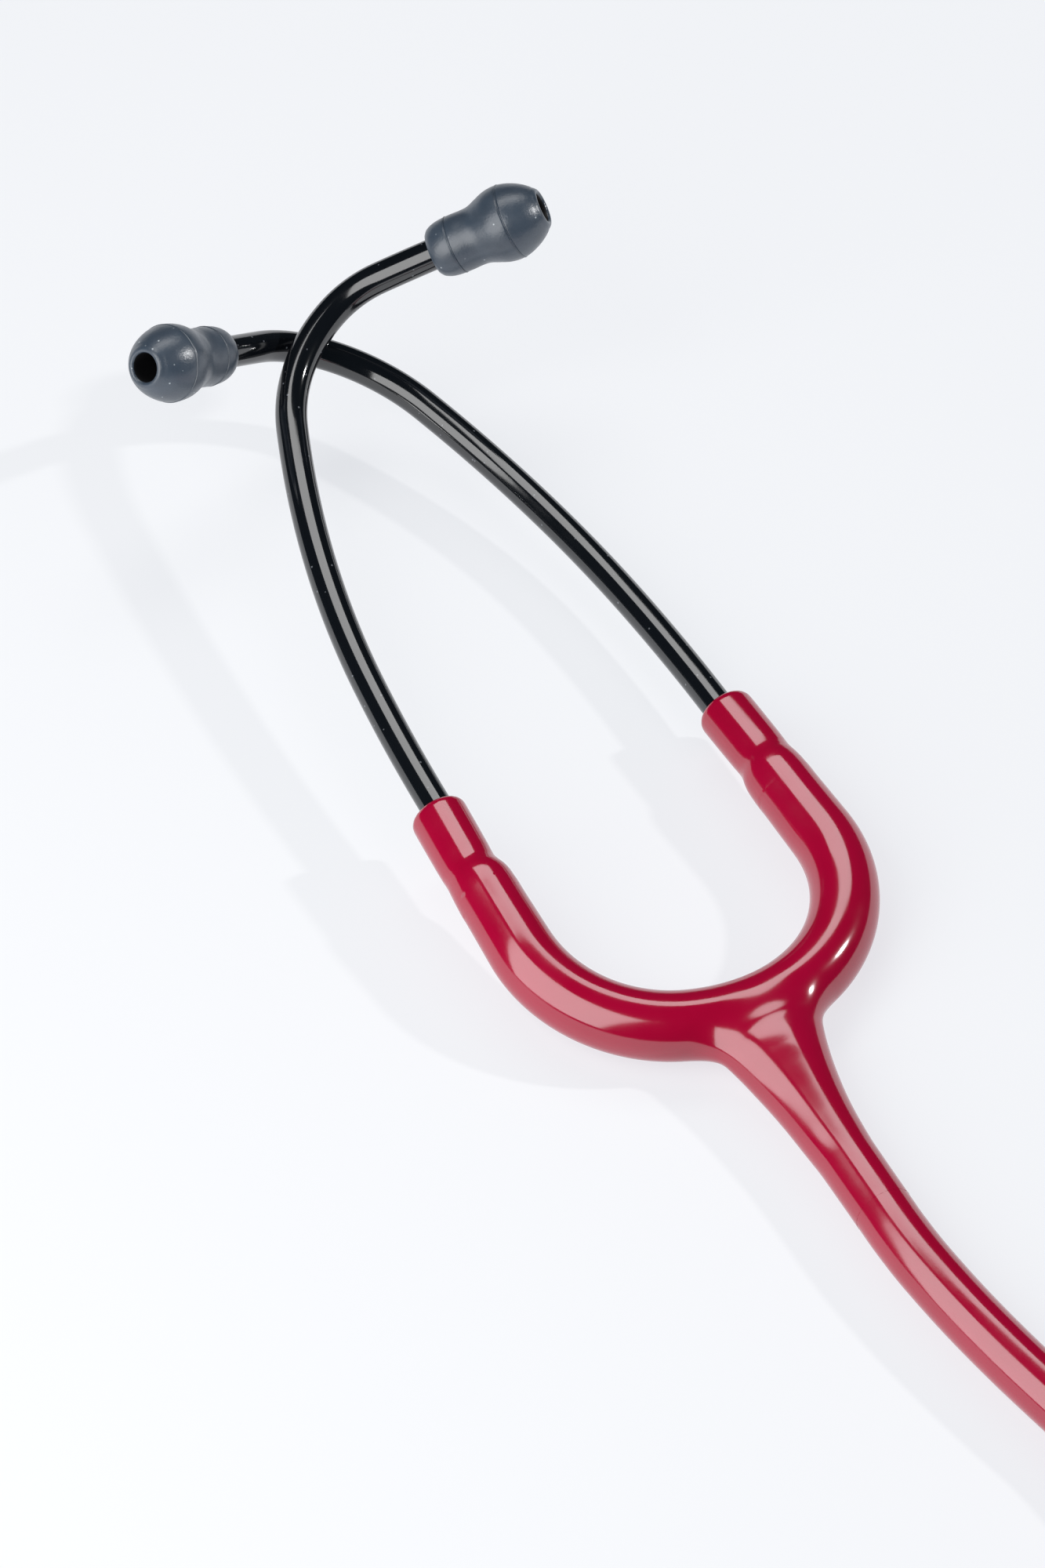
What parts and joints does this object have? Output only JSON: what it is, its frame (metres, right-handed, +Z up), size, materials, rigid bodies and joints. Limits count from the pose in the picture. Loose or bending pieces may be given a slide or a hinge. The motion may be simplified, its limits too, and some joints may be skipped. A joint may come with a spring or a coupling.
{
  "type": "stethoscope",
  "caption": "Binaural stethoscope lying flat: soft ear tips on crossed black ear tubes, a glossy red moulded Y yoke with its tube, and a turning two-sided chestpiece.",
  "frame": {"origin": "on the surface it lies on, below the middle of everything but the free tube's box", "axes": "+Y from the yoke to the ear tips, +X across the headset towards the chestpiece, +Z up from the surface"},
  "size_m": [0.1396, 0.4066, 0.0528],
  "materials": {
    "ear_tip": "matte slate grey soft silicone",
    "ear_tube": "glossy black",
    "red_tubing": "glossy crimson moulded tubing",
    "spring_steel": "spring steel",
    "rivet_steel": "bright steel",
    "inner_plastic": "dark moulded plastic",
    "polished_metal": "fine satin stainless steel",
    "seal_rubber": "black rubber",
    "rim_rubber": "satin black non-chill rim",
    "diaphragm": "pale glossy film"
  },
  "bodies": {
    "yoke": {"yoke_tubing": "red_tubing", "spring_leaf": "spring_steel", "main_tube": "red_tubing", "chestpiece_stem": "polished_metal", "stem_orings": "seal_rubber", "retaining_ring": "spring_steel"},
    "left_arm": {"left_spring_clamp": "spring_steel", "left_clamp_rivets": "rivet_steel"},
    "left_tube": {"left_ear_tube": "ear_tube", "left_tip_plug": "inner_plastic"},
    "left_tip": {"left_ear_tip": "ear_tip"},
    "right_arm": {"right_spring_clamp": "spring_steel", "right_clamp_rivets": "rivet_steel"},
    "right_tube": {"right_ear_tube": "ear_tube", "right_tip_plug": "inner_plastic"},
    "right_tip": {"right_ear_tip": "ear_tip"},
    "chestpiece": {"chestpiece_body": "polished_metal", "detent_ball": "rivet_steel", "detent_spring": "rivet_steel", "detent_screw": "rivet_steel", "adult_diaphragm": "diaphragm", "adult_rim": "rim_rubber", "pediatric_diaphragm": "diaphragm", "pediatric_rim": "rim_rubber"}
  },
  "joints": [
    {"name": "left_arm_spread", "type": "hinge", "parent": "yoke", "child": "left_arm", "pos_m": [-0.04536, -0.00795, 0.0085], "axis": [0, 0, 1], "range_deg": [0, 42], "stiffness_Nm_per_rad": 0.6, "deforming": ["yoke_tubing", "spring_leaf", "left_ear_tube", "right_ear_tube", "left_tip_plug", "right_tip_plug", "left_ear_tip", "right_ear_tip"]},
    {"name": "right_arm_spread", "type": "hinge", "parent": "yoke", "child": "right_arm", "pos_m": [-0.01136, -0.00795, 0.007], "axis": [0, 0, -1], "range_deg": [0, 42], "stiffness_Nm_per_rad": 0.6, "deforming": ["yoke_tubing", "spring_leaf", "left_ear_tube", "right_ear_tube", "left_tip_plug", "right_tip_plug", "left_ear_tip", "right_ear_tip"]},
    {"name": "left_tube_twist", "type": "hinge", "parent": "left_arm", "child": "left_tube", "pos_m": [-0.05777, 0.03689, 0.01208], "axis": [-0.0209, -0.9979, -0.061], "range_deg": [0, 15]},
    {"name": "right_tube_twist", "type": "hinge", "parent": "right_arm", "child": "right_tube", "pos_m": [0.00105, 0.03716, 0.00859], "axis": [0.0209, -0.9997, 0.0087], "range_deg": [0, 15]},
    {"name": "left_tip_pull", "type": "slide", "parent": "left_tube", "child": "left_tip", "axis": [0.8597, -0.3015, 0.4124], "range_m": [0, 0.015]},
    {"name": "right_tip_pull", "type": "slide", "parent": "right_tube", "child": "right_tip", "axis": [-0.8189, -0.2705, 0.5062], "range_m": [0, 0.015]},
    {"name": "chestpiece_turn", "type": "hinge", "parent": "yoke", "child": "chestpiece", "pos_m": [0.04764, -0.09895, 0.012], "axis": [-0.1736, 0.9848, 0], "continuous": true, "deforming": ["detent_ball", "detent_spring"]}
  ],
  "couplings": [
    {"joint": "right_arm_spread", "follows": "left_arm_spread", "ratio": 1}
  ]
}
